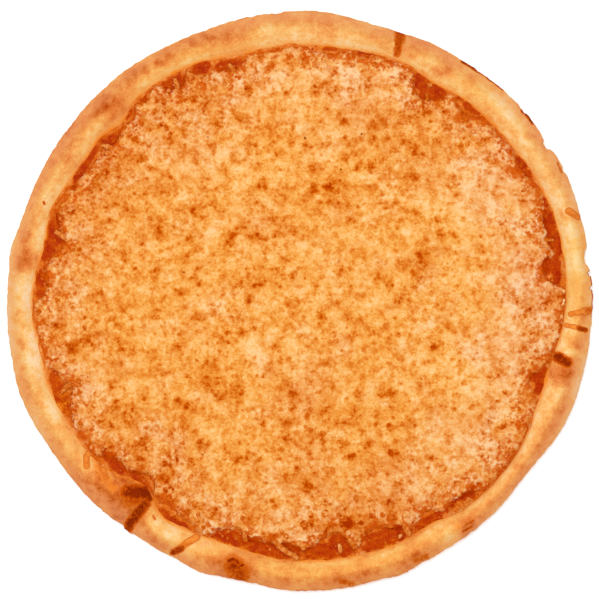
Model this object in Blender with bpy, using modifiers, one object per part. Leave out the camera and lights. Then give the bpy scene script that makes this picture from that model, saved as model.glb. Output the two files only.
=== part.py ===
"""A whole plain cheese pizza, baked and uncut.

The dough is one solid: a thin round base with a puffed rim, its blisters and its creases. A thin layer of
tomato sauce lies on the base. The melted cheese lies on the sauce, and its ragged edge stands back from the
rim in places, so that the sauce shows there. A few scraps of cheese lie loose on that sauce.

Metres, +Z up. The origin is on the table, under the middle of the pizza. Angles are in degrees round the
pizza, from +X towards +Y, and +Y is the top of the picture.
"""

import math
import random

import bmesh
import bpy
from mathutils import Matrix, Vector, noise

PIZZA_RADIUS = 0.1756  # before the swells, which bring the widest place to 14 inches across
RIM_WIDTH = 0.0179
RIM_HEIGHT = 0.0124
WIDEST_HEIGHT = 0.0058
CREST_BACK = 0.0088  # how far inside the outer edge the rim is highest
UNDER_BACK = 0.0066  # how far inside the outer edge the dough leaves the table
BASE_THICKNESS = 0.0036
SAUCE_THICKNESS = 0.0011
CHEESE_THICKNESS = 0.0026
LAYER_GAP = 0.0003
CLEAR_OF_FOOT = 0.0005

SAUCE_FLOOR = BASE_THICKNESS + LAYER_GAP
SAUCE_TOP = SAUCE_FLOOR + SAUCE_THICKNESS
CHEESE_FLOOR = SAUCE_TOP + LAYER_GAP
FOOT_RADIUS = PIZZA_RADIUS - RIM_WIDTH

CRUST_STEPS = 192
INNER_STEPS, OUTER_STEPS, UNDER_STEPS = 5, 5, 3
SAUCE_STEPS = 180
CHEESE_SQUARES = 46

# Unevenness of the hand-made edges, each as a height and how close its lumps are round the pizza.
CREST_WANDER = (0.0026, 1.9)
SAUCE_RIPPLE = (0.0006, 14.0)
CHEESE_EDGE_LUMPS = ((0.0011, 9.0), (0.0009, 22.0))
# Unevenness of the surfaces, each as a height and the size of its lumps.
DOUGH_LUMPS = (0.0005, 0.011)
CHEESE_LUMPS = ((0.0007, 0.022), (0.0007, 0.009))

# Where the hand-stretched edge stands out or in: angle, half width in degrees, how far.
OUTLINE_SWELLS = (
    (20, 30, 0.0022),
    (27, 6, 0.0014),
    (42, 8, 0.0016),
    (357, 8, 0.0010),
    (7.8, 1.8, -0.0022),
    (32.4, 1.4, -0.0018),
    (67, 4, -0.0008),
    (75, 6, -0.0022),
    (87, 6, 0.0010),
    (111, 12, -0.0014),
    (170, 3.5, 0.0022),
    (185, 16, 0.0024),
    (200, 9, 0.0024),
    (237, 11, -0.0016),
    (246.5, 3, -0.0008),
    (250.5, 2, 0.0010),
    (258, 5, -0.0026),
    (278, 9, 0.0010),
    (290, 2.5, 0.0018),
    (306, 9, -0.0010),
    (327, 4, -0.0010),
    (321, 6, -0.0024),
    (340, 10, 0.0019),
)
# Where the rim's foot, its inner edge, stands out or in.
FOOT_SWELLS = (
    (10, 24, 0.0040),
    (20, 8, 0.0012),
    (58, 6, -0.0028),
    (84, 12, -0.0030),
    (103, 8, -0.0044),
    (135, 3.5, -0.0054),
    (146, 8, -0.0018),
    (160, 5, 0.0026),
    (181, 9, 0.0050),
    (199, 8, 0.0026),
    (223, 4, -0.0026),
    (230, 5.5, -0.0114),
    (243, 6, -0.0022),
    (254, 9, -0.0040),
    (301, 5, -0.0026),
    (318, 20, 0.0034),
    (335, 6, -0.0024),
    (345, 7, -0.0034),
)
CHEESE_MARGIN = 0.0012
# How far the cheese's edge stands back from the rim's foot, beyond that margin.
SAUCE_SHOWS = (
    (3, 2.5, 0.0040),
    (7.5, 3, 0.0092),
    (15, 6, 0.0046),
    (31, 3, 0.0022),
    (49, 3.5, 0.0040),
    (59.5, 4.5, 0.0098),
    (84, 4, 0.0010),
    (105, 4, 0.0060),
    (112, 3, 0.0054),
    (120, 4, 0.0050),
    (141, 6, 0.0050),
    (152, 4, 0.0030),
    (166, 5, 0.0080),
    (178, 5, 0.0050),
    (187, 5, 0.0040),
    (200, 6, 0.0082),
    (210, 4, 0.0020),
    (222, 4, 0.0056),
    (232, 4, 0.0030),
    (239, 4, 0.0056),
    (254, 6, 0.0066),
    (267, 5, 0.0066),
    (276, 4, 0.0096),
    (279.6, 2.2, 0.0056),
    (287, 6, 0.0104),
    (299, 8, 0.0054),
    (308, 4, 0.0030),
    (341, 4, 0.0062),
    (351, 3, 0.0020),
    (357, 3, 0.0030),
)
# Blisters of the rim: angle, distance from the middle, half length along the rim, half width across it, rise.
RIM_BLISTERS = (
    (230.0, 0.1550, 0.0095, 0.0105, 0.0042),
    (257.0, 0.1668, 0.0075, 0.0075, 0.0022),
    (346.0, 0.1650, 0.0070, 0.0080, 0.0024),
    (135.0, 0.1650, 0.0075, 0.0070, 0.0022),
    (127.0, 0.1690, 0.0080, 0.0060, 0.0014),
    (172.0, 0.1676, 0.0075, 0.0070, 0.0016),
    (27.0, 0.1706, 0.0090, 0.0060, 0.0014),
    (314.0, 0.1658, 0.0070, 0.0060, 0.0012),
    (306.5, 0.1682, 0.0055, 0.0050, 0.0012),
    (247.0, 0.1690, 0.0080, 0.0070, 0.0014),
    (238.5, 0.1640, 0.0070, 0.0070, 0.0018),
    (196.0, 0.1710, 0.0160, 0.0070, 0.0012),
    (98.0, 0.1670, 0.0160, 0.0070, 0.0010),
    (61.0, 0.1680, 0.0120, 0.0070, 0.0012),
)
# Creases across the rim: angle and distance of the outer end, then of the inner end, half width, depth.
RIM_CREASES = (
    (233.0, 0.1780, 233.0, 0.1530, 0.0034, 0.0030),
    (69.8, 0.1780, 68.9, 0.1610, 0.0030, 0.0011),
    (243.6, 0.1715, 247.5, 0.1560, 0.0034, 0.0022),
    (353.9, 0.1756, 353.4, 0.1650, 0.0026, 0.0012),
    (358.2, 0.1780, 356.6, 0.1650, 0.0028, 0.0010),
    (16.6, 0.1780, 19.0, 0.1690, 0.0030, 0.0010),
    (4.6, 0.1780, 4.4, 0.1640, 0.0020, 0.0006),
    (217.6, 0.1640, 214.0, 0.1590, 0.0026, 0.0009),
)
# Loose scraps of cheese on the sauce: name, angle, distance from the middle, half length, half width, turn.
CHEESE_SCRAPS = (
    ("cheese_scrap_1", 279.2, 0.1523, 0.0034, 0.0016, 100),
    ("cheese_scrap_2", 293.0, 0.1553, 0.0017, 0.0012, 60),
    ("cheese_scrap_3", 59.0, 0.1528, 0.0020, 0.0013, 150),
)
# Shreds of cheese that reach out over the sauce: angle, how far each reaches past the cheese's edge, how far
# its tip leans sideways, and its half thickness.
CHEESE_SHREDS = (
    (358.9, 0.0056, 0.0010, 0.0014),
    (1.2, 0.0066, -0.0040, 0.0013),
    (3.4, 0.0080, -0.0046, 0.0013),
    (355.6, 0.0034, 0.0026, 0.0013),
    (264.0, 0.0088, 0.0150, 0.0014),
    (281.6, 0.0050, 0.0024, 0.0014),
    (295.2, 0.0086, -0.0010, 0.0016),
    (256.5, 0.0026, 0.0020, 0.0012),
    (200.0, 0.0040, 0.0024, 0.0012),
    (165.0, 0.0036, -0.0022, 0.0012),
    (141.0, 0.0034, 0.0024, 0.0011),
    (120.0, 0.0030, -0.0018, 0.0011),
    (106.0, 0.0034, 0.0020, 0.0011),
    (57.5, 0.0036, 0.0024, 0.0012),
    (14.0, 0.0030, -0.0020, 0.0011),
)
SHRED_POINTS = 6
SHRED_ROOT = 0.0055  # how deep in the cheese a shred starts
SHRED_LIFT = 0.0005
SHRED_TAPER = 0.45
CHEESE_EDGE_HEIGHT = 0.0011
CHEESE_ROUNDING = 0.0045  # how far inside its edge the cheese has its full thickness
CHEESE_BLISTERS = 150
BLISTERED_RADIUS = 0.152
BLISTER_RADII = (0.0055, 0.0105)
BLISTER_RISES = (0.0005, 0.0013)
BLISTER_SIGNS = (1.0, 1.0, 1.0, -0.6)  # one in four is a dent
GOLDEN_TURN = 137.508
SEED = 7


def turn_from(angle, centre):
    """The angle from centre to angle, in degrees between -180 and 180."""
    return (angle - centre + 180.0) % 360.0 - 180.0


def round_noise(angle, wander, level):
    """Noise round the pizza, whose level picks one course of it."""
    height, closeness = wander
    return height * noise.noise(polar(angle, closeness, level))


def lumps_at(point, lumps):
    """The height of a surface's lumps at this point."""
    height, size = lumps
    return height * noise.noise(point / size)


def swell(angle, bumps):
    """What smooth bumps round the pizza add up to at this angle."""
    return sum(size * math.exp(-((turn_from(angle, at) / half) ** 2)) for at, half, size in bumps)


def polar(angle, radius, height=0.0):
    """A point from its angle in degrees, its distance from the middle and its height."""
    turn = math.radians(angle)
    return Vector((radius * math.cos(turn), radius * math.sin(turn), height))


def angle_of(point):
    return math.degrees(math.atan2(point.y, point.x)) % 360.0


def outer_radius(angle):
    return PIZZA_RADIUS + swell(angle, OUTLINE_SWELLS)


def foot_radius(angle):
    return FOOT_RADIUS + swell(angle, FOOT_SWELLS)


def rim_height(angle):
    """The crest's height, which rises and falls slowly round the pizza."""
    return RIM_HEIGHT + round_noise(angle, CREST_WANDER, 3.1)


def cheese_radius(angle):
    """The cheese's ragged edge: back from the rim's foot by what sauce shows, with lumps of two sizes."""
    lumps = round_noise(angle, CHEESE_EDGE_LUMPS[0], 5.3) + round_noise(angle, CHEESE_EDGE_LUMPS[1], 8.9)
    foot = foot_radius(angle)
    return min(foot - CHEESE_MARGIN - swell(angle, SAUCE_SHOWS) + lumps, foot - CLEAR_OF_FOOT)


def material(name, colour, roughness):
    made = bpy.data.materials.new(name)
    made.use_nodes = True
    shader = made.node_tree.nodes["Principled BSDF"]
    shader.inputs["Base Color"].default_value = (*colour, 1.0)
    shader.inputs["Roughness"].default_value = roughness
    shader.inputs["Metallic"].default_value = 0.0
    return made


def add_object(name, mesh, collection, finish=None):
    made = bpy.data.objects.new(name, mesh)
    collection.objects.link(made)
    if finish:
        mesh.materials.clear()
        mesh.materials.append(finish)
    return made


def evaluated_mesh(source):
    """The object's mesh with its modifiers done, after which the object itself is removed."""
    bpy.context.view_layer.update()
    graph = bpy.context.evaluated_depsgraph_get()
    mesh = bpy.data.meshes.new_from_object(source.evaluated_get(graph))
    bpy.data.objects.remove(source)
    return mesh


def rim_profile():
    """Half of the dough's section as (distance, height), from its middle, over the rim, to its underside."""
    crest = PIZZA_RADIUS - CREST_BACK
    puff = RIM_HEIGHT - BASE_THICKNESS
    points = [(0.0, BASE_THICKNESS)]
    for step in range(INNER_STEPS):
        share = step / INNER_STEPS
        rise = 0.35 * share + 0.65 * math.sin(math.pi / 2 * share)
        points.append((FOOT_RADIUS + share * (crest - FOOT_RADIUS), BASE_THICKNESS + rise * puff))
    for step in range(OUTER_STEPS + 1):
        turn = math.pi / 2 * (1 - step / OUTER_STEPS)
        height = WIDEST_HEIGHT + (RIM_HEIGHT - WIDEST_HEIGHT) * math.sin(turn)
        points.append((crest + CREST_BACK * math.cos(turn), height))
    for step in range(1, UNDER_STEPS + 1):
        turn = math.pi / 2 * step / UNDER_STEPS
        distance = PIZZA_RADIUS - UNDER_BACK * (1 - math.cos(turn))
        points.append((distance, WIDEST_HEIGHT * (1 - math.sin(turn))))
    points.append((0.0, 0.0))
    return points


def turned(name, profile, steps, collection):
    """The profile turned once round the Z axis."""
    mesh = bpy.data.meshes.new(name)
    edges = [(i, i + 1) for i in range(len(profile) - 1)]
    mesh.from_pydata([(x, 0.0, z) for x, z in profile], edges, [])
    lathe = add_object(name, mesh, collection)
    screw = lathe.modifiers.new("turn", "SCREW")
    screw.steps = screw.render_steps = steps
    screw.use_merge_vertices = True
    screw.merge_threshold = 0.00005
    return evaluated_mesh(lathe)


def stretch_by_hand(point):
    """Moves a point of the evenly turned dough to where the uneven outline, foot and crest have it."""
    angle, radius = angle_of(point), math.hypot(point.x, point.y)
    foot = foot_radius(angle)
    if radius <= FOOT_RADIUS:
        return polar(angle, radius * foot / FOOT_RADIUS, point.z)
    across = (radius - FOOT_RADIUS) / RIM_WIDTH
    lift = max(0.0, point.z - BASE_THICKNESS) / (RIM_HEIGHT - BASE_THICKNESS)
    height = point.z + lift * (rim_height(angle) - RIM_HEIGHT)
    return polar(angle, foot + across * (outer_radius(angle) - foot), height)


def blister_share(point, blister):
    """How much of a blister's rise this point gets, from 1 at its middle to 0 well outside it."""
    angle, radius, half_length, half_width, _ = blister
    along = math.radians(turn_from(angle_of(point), angle)) * radius
    across = math.hypot(point.x, point.y) - radius
    reach = (along / half_length) ** 2 + (across / half_width) ** 2
    return max(0.0, 1.0 - reach / 2.2) ** 2


def crease_share(point, crease):
    """How much of a crease's depth this point gets, by its distance in plan from the crease's line."""
    outer, inner = polar(*crease[:2]), polar(*crease[2:4])
    half_width = crease[4]
    plan = Vector((point.x, point.y, 0.0))
    line = inner - outer
    share = min(1.0, max(0.0, (plan - outer).dot(line) / line.length_squared))
    return math.exp(-(((plan - outer - share * line).length / half_width) ** 2))


def make_crust(collection, finish):
    """The dough: turned, stretched to its uneven outline, then blistered and creased along the rim."""
    bm = bmesh.new()
    bm.from_mesh(turned("crust_turned", rim_profile(), CRUST_STEPS, collection))
    for vert in bm.verts:
        vert.co = stretch_by_hand(vert.co)
    bm.normal_update()
    full_relief_height = BASE_THICKNESS + 0.004
    for vert in bm.verts:
        above = min(1.0, (vert.co.z - BASE_THICKNESS) / (full_relief_height - BASE_THICKNESS))
        if above <= 0.0:
            continue
        rise = sum(blister_share(vert.co, blister) * blister[4] for blister in RIM_BLISTERS)
        rise -= sum(crease_share(vert.co, crease) * crease[5] for crease in RIM_CREASES)
        rise += lumps_at(vert.co, DOUGH_LUMPS)
        vert.co += vert.normal * rise * above
    bmesh.ops.recalc_face_normals(bm, faces=bm.faces)
    mesh = bpy.data.meshes.new("crust")
    bm.to_mesh(mesh)
    bm.free()
    mesh.shade_smooth()
    return add_object("crust", mesh, collection, finish)


def make_sauce(collection, finish):
    """The sauce: a thin round with a soft edge, just inside the rim's foot, under all the cheese."""
    edge_slant = 0.0006
    bm = bmesh.new()
    ring = bmesh.ops.create_circle(bm, segments=SAUCE_STEPS, radius=1.0, cap_ends=True)["verts"]
    lower = bmesh.ops.extrude_face_region(bm, geom=list(bm.faces))["geom"]
    lower = {item for item in lower if isinstance(item, bmesh.types.BMVert)}
    for vert in list(ring) + list(lower):
        angle = angle_of(vert.co)
        edge = foot_radius(angle) - CLEAR_OF_FOOT + min(0.0, round_noise(angle, SAUCE_RIPPLE, 2.2))
        if vert in lower:
            vert.co = polar(angle, edge, SAUCE_FLOOR)
        else:
            vert.co = polar(angle, edge - edge_slant, SAUCE_TOP)
    bmesh.ops.recalc_face_normals(bm, faces=bm.faces)
    mesh = bpy.data.meshes.new("sauce")
    bm.to_mesh(mesh)
    bm.free()
    return add_object("sauce", mesh, collection, finish)


def to_disc(u, v):
    """Where a point of the square from -1 to 1 goes in the disc made of it: share of the radius, angle."""
    reach = max(abs(u), abs(v))
    if reach < 1e-9:
        return 0.0, 0.0
    if abs(u) >= abs(v):
        return reach, (45.0 * v / u + (180.0 if u < 0 else 0.0)) % 360.0
    return reach, (90.0 - 45.0 * u / v + (180.0 if v < 0 else 0.0)) % 360.0


def cheese_blisters():
    """Blisters and dents of the melted cheese: place, radius and rise, strewn evenly by a seeded draw."""
    draw = random.Random(SEED)
    stray_angle, stray = 9.0, 0.004
    made = []
    for index in range(CHEESE_BLISTERS):
        angle = index * GOLDEN_TURN + draw.uniform(-stray_angle, stray_angle)
        radius = BLISTERED_RADIUS * math.sqrt((index + 0.5) / CHEESE_BLISTERS) + draw.uniform(-stray, stray)
        size = draw.uniform(*BLISTER_RADII)
        rise = draw.choice(BLISTER_SIGNS) * draw.uniform(*BLISTER_RISES)
        made.append((polar(angle, radius), size, rise))
    return made


def cheese_height(point, inside, blisters):
    """The cheese's height over its floor at a point that lies this far inside its edge."""
    share = min(1.0, max(0.0, inside / CHEESE_ROUNDING))
    height = CHEESE_EDGE_HEIGHT + (CHEESE_THICKNESS - CHEESE_EDGE_HEIGHT) * math.sin(math.pi / 2 * share)
    relief = sum(lumps_at(point, lumps) for lumps in CHEESE_LUMPS)
    for place, radius, rise in blisters:
        distance = (point - place).length
        if distance < radius:
            relief += rise * (1.0 - (distance / radius) ** 2) ** 2
    return max(CHEESE_EDGE_HEIGHT * 0.8, height + relief * share)


def shred(name, angle, reach, lean, half_thickness, collection):
    """A shred of cheese: a tapered tube from inside the cheese, over its edge, down on to the sauce."""
    wave, waves = 0.0005, 9.0
    edge = cheese_radius(angle)
    reach = min(reach, foot_radius(angle) - CLEAR_OF_FOOT - edge)
    side = polar(angle + 90.0, 1.0)
    rest_height = CHEESE_FLOOR + 0.0001 + half_thickness
    curve = bpy.data.curves.new(name, "CURVE")
    curve.dimensions = "3D"
    curve.bevel_depth = half_thickness
    curve.bevel_resolution = 1
    curve.use_fill_caps = True
    spline = curve.splines.new("POLY")
    spline.points.add(SHRED_POINTS - 1)
    for index, point in enumerate(spline.points):
        share = index / (SHRED_POINTS - 1)
        out = edge - SHRED_ROOT + share * (reach + SHRED_ROOT)
        sideways = lean * share**1.4 + wave * math.sin(share * waves)
        place = polar(angle, out, rest_height + SHRED_LIFT * (1.0 - share)) + side * sideways
        point.co = (*place, 1.0)
        point.radius = 1.0 - SHRED_TAPER * share**2
    tube = bpy.data.objects.new(name, curve)
    collection.objects.link(tube)
    mesh = evaluated_mesh(tube)
    bm = bmesh.new()
    bm.from_mesh(mesh)
    bmesh.ops.remove_doubles(bm, verts=bm.verts, dist=0.00002)
    bmesh.ops.recalc_face_normals(bm, faces=bm.faces)
    bm.to_mesh(mesh)
    bm.free()
    return add_object(name, mesh, collection)


def make_cheese(collection, cutters, finish):
    """The cheese: a square grid made a disc, raised to its uneven surface, closed below, with its shreds."""
    blisters = cheese_blisters()
    bm = bmesh.new()
    bmesh.ops.create_grid(bm, x_segments=CHEESE_SQUARES, y_segments=CHEESE_SQUARES, size=1.0)
    border = [edge for edge in bm.edges if edge.is_boundary]
    for vert in bm.verts:
        share, angle = to_disc(vert.co.x, vert.co.y)
        edge = cheese_radius(angle)
        place = polar(angle, share * edge)
        place.z = CHEESE_FLOOR + cheese_height(place, (1.0 - share) * edge, blisters)
        vert.co = place
    skirt = bmesh.ops.extrude_edge_only(bm, edges=border)["geom"]
    for item in skirt:
        if isinstance(item, bmesh.types.BMVert):
            item.co.z = CHEESE_FLOOR
    lowest = [item for item in skirt if isinstance(item, bmesh.types.BMEdge) and item.is_boundary]
    bmesh.ops.edgeloop_fill(bm, edges=lowest)
    bmesh.ops.recalc_face_normals(bm, faces=bm.faces)
    mesh = bpy.data.meshes.new("cheese_layer")
    bm.to_mesh(mesh)
    bm.free()
    layer = add_object("cheese_layer", mesh, collection)
    for index, facts in enumerate(CHEESE_SHREDS):
        shred(f"shred_{index + 1}", *facts, cutters)
    union = layer.modifiers.new("shreds", "BOOLEAN")
    union.operation = "UNION"
    union.operand_type = "COLLECTION"
    union.collection = cutters
    union.solver = "MANIFOLD"
    joined = evaluated_mesh(layer)
    joined.name = "cheese"
    for tube in list(cutters.objects):
        bpy.data.objects.remove(tube)
    joined.shade_smooth()
    return add_object("cheese", joined, collection, finish)


def make_scrap(name, angle, radius, half_length, half_width, turn, collection, finish):
    """A loose scrap of cheese: a small flattened lump lying on the sauce."""
    lump_share, cut_off, flatness = 0.25, 0.45, 0.8
    bm = bmesh.new()
    bmesh.ops.create_icosphere(bm, subdivisions=2, radius=1.0)
    heading = Matrix.Rotation(math.radians(turn), 3, "Z")
    centre = polar(angle, radius, SAUCE_TOP + LAYER_GAP)
    for vert in bm.verts:
        lump = 1.0 + lump_share * noise.noise(vert.co * 1.7 + centre * 400.0)
        height = (max(vert.co.z, -cut_off) + cut_off) * half_width * flatness
        flat = Vector((vert.co.x * half_length * lump, vert.co.y * half_width * lump, height))
        vert.co = centre + heading @ flat
    mesh = bpy.data.meshes.new(name)
    bm.to_mesh(mesh)
    bm.free()
    mesh.shade_smooth()
    return add_object(name, mesh, collection, finish)


def centre_on_origin(crust, pieces):
    """Moves every piece alike, so that the dough's box stands centred on the origin."""
    across = [vert.co.x for vert in crust.data.vertices]
    along = [vert.co.y for vert in crust.data.vertices]
    middle = Vector(((min(across) + max(across)) / 2, (min(along) + max(along)) / 2, 0.0))
    for piece in pieces:
        for vert in piece.data.vertices:
            vert.co -= middle


def main():
    for old in list(bpy.data.objects):
        bpy.data.objects.remove(old)
    pizza = bpy.data.collections.new("pizza")
    cutters = bpy.data.collections.new("cheese_shreds")
    bpy.context.scene.collection.children.link(pizza)
    bpy.context.scene.collection.children.link(cutters)

    baked_dough = material("baked_dough", (0.80, 0.42, 0.14), 0.75)
    tomato_sauce = material("tomato_sauce", (0.50, 0.09, 0.01), 0.35)
    browned_cheese = material("browned_cheese", (0.88, 0.40, 0.10), 0.50)

    crust = make_crust(pizza, baked_dough)
    pieces = [crust, make_sauce(pizza, tomato_sauce), make_cheese(pizza, cutters, browned_cheese)]
    for facts in CHEESE_SCRAPS:
        pieces.append(make_scrap(*facts, pizza, browned_cheese))
    bpy.data.collections.remove(cutters)
    centre_on_origin(crust, pieces)


main()
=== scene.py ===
import math
import random

import bmesh
import bpy
import numpy as np
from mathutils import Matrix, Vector, noise
from mathutils.bvhtree import BVHTree


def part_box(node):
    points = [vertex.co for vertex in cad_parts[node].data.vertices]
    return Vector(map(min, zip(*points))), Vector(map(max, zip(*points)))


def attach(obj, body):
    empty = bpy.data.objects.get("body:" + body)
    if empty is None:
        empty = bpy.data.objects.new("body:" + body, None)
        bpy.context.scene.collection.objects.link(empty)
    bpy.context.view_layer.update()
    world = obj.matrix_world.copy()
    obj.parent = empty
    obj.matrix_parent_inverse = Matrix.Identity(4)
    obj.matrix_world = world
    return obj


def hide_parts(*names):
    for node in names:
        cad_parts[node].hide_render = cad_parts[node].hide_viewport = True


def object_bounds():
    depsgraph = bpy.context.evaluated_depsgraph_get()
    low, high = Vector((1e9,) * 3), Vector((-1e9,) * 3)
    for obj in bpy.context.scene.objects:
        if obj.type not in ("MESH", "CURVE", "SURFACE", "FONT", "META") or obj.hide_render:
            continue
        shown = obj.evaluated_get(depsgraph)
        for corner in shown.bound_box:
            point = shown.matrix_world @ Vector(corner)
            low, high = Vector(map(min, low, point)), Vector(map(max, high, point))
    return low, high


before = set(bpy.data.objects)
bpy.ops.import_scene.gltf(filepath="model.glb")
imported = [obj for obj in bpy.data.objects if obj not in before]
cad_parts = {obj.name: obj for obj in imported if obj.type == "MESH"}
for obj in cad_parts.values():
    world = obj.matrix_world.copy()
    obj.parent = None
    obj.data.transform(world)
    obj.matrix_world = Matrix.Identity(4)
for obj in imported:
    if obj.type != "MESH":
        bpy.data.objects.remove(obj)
cad_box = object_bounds()

# Camera
# The picture looks straight down on the pizza from far enough away that the rim shows no outer side. The
# pizza lies half a pixel right of the picture's middle and one pixel below it.
METRES_A_PIXEL = 0.0006068
FRAME_PIXELS = 599
PIXELS_RIGHT = 0.5
PIXELS_BELOW = 1.0
CAMERA_HEIGHT = 1.4
WIDEST_HEIGHT = 0.0058

camera_data = bpy.data.cameras.new("camera")
camera_data.sensor_width = 36.0
frame_width = FRAME_PIXELS * METRES_A_PIXEL
camera_data.lens = camera_data.sensor_width * (CAMERA_HEIGHT - WIDEST_HEIGHT) / frame_width
camera = bpy.data.objects.new("camera", camera_data)
camera.location = (-PIXELS_RIGHT * METRES_A_PIXEL, PIXELS_BELOW * METRES_A_PIXEL, CAMERA_HEIGHT)
bpy.context.scene.collection.objects.link(camera)
bpy.context.scene.camera = camera

# Light
# A white sky from all sides and one wide soft box overhead, a little towards the top of the picture, as over
# a light table. Colours are shown as they are, with no film look over them.
SKY_STRENGTH = 1.24
SOFT_BOX_SIZE = 0.6
SOFT_BOX_PLACE = (-0.25, 0.40, 1.9)
SOFT_BOX_WATTS = 16.0

scene = bpy.context.scene
scene.view_settings.view_transform = "Standard"
scene.view_settings.look = "None"
world = bpy.data.worlds.new("white_sky")
world.use_nodes = True
world.node_tree.nodes["Background"].inputs["Color"].default_value = (1.0, 1.0, 1.0, 1.0)
world.node_tree.nodes["Background"].inputs["Strength"].default_value = SKY_STRENGTH
scene.world = world
soft_box_data = bpy.data.lights.new("soft_box", "AREA")
soft_box_data.shape = "DISK"
soft_box_data.size = SOFT_BOX_SIZE
soft_box_data.energy = SOFT_BOX_WATTS
soft_box = bpy.data.objects.new("soft_box", soft_box_data)
soft_box.location = SOFT_BOX_PLACE
soft_box.rotation_euler = Vector(SOFT_BOX_PLACE).to_track_quat("Z", "Y").to_euler()
soft_box.visible_camera = False
scene.collection.objects.link(soft_box)

# Floor
# A plain white studio floor, matt, just under the dough.
FLOOR_SIDE = 8.0
FLOOR_DROP = 0.0002
FLOOR_WHITE = 0.93


def new_material(name, gloss):
    """A new node material, its tree and its Principled shader, with this much mirror reflection."""
    made = bpy.data.materials.new(name)
    made.use_nodes = True
    shader = made.node_tree.nodes["Principled BSDF"]
    shader.inputs["Specular IOR Level"].default_value = gloss
    return made, made.node_tree, shader


bpy.ops.mesh.primitive_plane_add(size=FLOOR_SIDE, location=(0.0, 0.0, -FLOOR_DROP))
floor = bpy.context.object
floor.name = "floor"
floor_finish, _, shader = new_material("matt_white_floor", 0.1)
shader.inputs["Base Color"].default_value = (FLOOR_WHITE, FLOOR_WHITE, FLOOR_WHITE, 1.0)
shader.inputs["Roughness"].default_value = 0.9
floor.data.materials.append(floor_finish)

# Crust
# The dough, in one piece: a thin base with a puffed rim, made of wheat flour and baked on a hot stone. The
# rim is pale yellow on its inner slope, made paler still by painted light, browner outside, toasted in soft
# patches, and burnt on its blisters. The underside is dry and spotted brown.
# What exp takes to halve a mark at its half width.
HALVING = -0.69
ALBEDO_SHARE = 0.65
SHEEN = 0.012
PIZZA_RADIUS = 0.1756
WRINKLE_DEPTH = 0.00022
EDGE_NICK_DEPTH = 0.0005
STREAK_RISE = 0.0005
BURN_SINK = 0.0004
MARK_REACH = 1.8
MARK_CUTS = 2
# Broken places in the outer edge, and one that stands out: angle, half width in degrees, depth in pixels.
EDGE_BREAKS = (
    (2.45, 0.3, 2.2), (5.3, 0.4, 2.4), (8.6, 1.5, 2.4), (26.3, 0.5, 1.2),
    (32.2, 0.9, 2.4), (40.5, 0.8, 1.2), (94.5, 0.8, 1.2), (233.2, 1.1, -2.6),
)
# How light the dough is across the rim, from its foot to its outer edge, between 0 burnt and 1 raw.
RIM_TONES = ((-0.05, 0.46), (0.06, 0.66), (0.18, 0.73), (0.36, 0.66), (0.55, 0.57), (0.78, 0.56), (1.0, 0.66))
# Painted light: how much lighter the colour is made on slopes that face the middle, where less light falls.
SLOPE_PAINTED_LIGHT = 0.25
DARKEST_TOAST = 0.30
UNDERSIDE_TOP = 0.0012
# How much lighter or darker the rim is on each side, by the angle in degrees.
RIM_SIDES = (
    (0, 0.1), (30, 0.03), (60, 0), (90, 0.02), (120, 0), (150, 0.02), (180, 0.08), (200, 0.1),
    (213, 0.07), (224, -0.1), (240, -0.04), (270, -0.03), (300, -0.01), (330, 0.02), (360, 0.1),
)
# How much yellower the rim is on each side, by the angle in degrees.
RIM_WARMTH = (
    (0, 0.6), (11, 0.8), (18, 0), (42, 0), (50, 0.5), (58, 0.1), (90, 0), (115, 0.5), (140, 0.2),
    (160, 0), (200, 0.1), (245, 0.3), (262, 0.6), (292, 0.6), (318, 0), (345, 0), (360, 0.6),
)
# Soft toasted places on the rim: angle, distance from the middle, half length in degrees, half width,
# strength.
TOASTED = (
    (17.6, 0.1726, 1.1, 0.0046, 0.4), (42, 0.164, 9, 0.0026, 0.6), (26, 0.1699, 2.2, 0.0036, 0.5),
    (61, 0.1723, 7, 0.005, 0.3), (104, 0.169, 12, 0.006, 0.55), (101, 0.1669, 3, 0.004, 0.35),
    (107, 0.1651, 2.2, 0.004, 0.45), (115, 0.1672, 5, 0.005, 0.6), (127.3, 0.1711, 4.2, 0.0055, 0.8),
    (134.6, 0.1634, 2.9, 0.0068, 1.7), (138, 0.169, 9, 0.004, 0.35), (150, 0.1735, 12, 0.005, 0.45),
    (167, 0.1711, 1.2, 0.008, 0.45), (171.5, 0.1669, 2.6, 0.0062, 1.7), (195, 0.174, 6, 0.005, 0.4),
    (223, 0.1711, 6, 0.0062, 0.6), (229, 0.1595, 5.2, 0.0125, 1.25), (222, 0.1595, 2, 0.004, 0.45),
    (238.5, 0.1712, 2.6, 0.0045, 0.5), (250.5, 0.169, 3, 0.006, 0.55), (256.6, 0.1672, 3.4, 0.0088, 1.6),
    (279, 0.172, 8, 0.0045, 0.6), (283, 0.1732, 16, 0.0048, 0.45), (308, 0.168, 9, 0.0045, 0.4),
    (295.5, 0.1726, 2, 0.004, 0.8), (306.3, 0.1711, 2.2, 0.005, 0.9), (313, 0.1705, 3, 0.005, 0.45),
    (325, 0.173, 9, 0.0035, 0.35), (330, 0.169, 7, 0.0042, 0.45), (344.6, 0.1642, 2.5, 0.0066, 1.7),
    (351, 0.1702, 1.7, 0.0062, 0.85), (357.6, 0.1735, 0.9, 0.006, 1),
)
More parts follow.
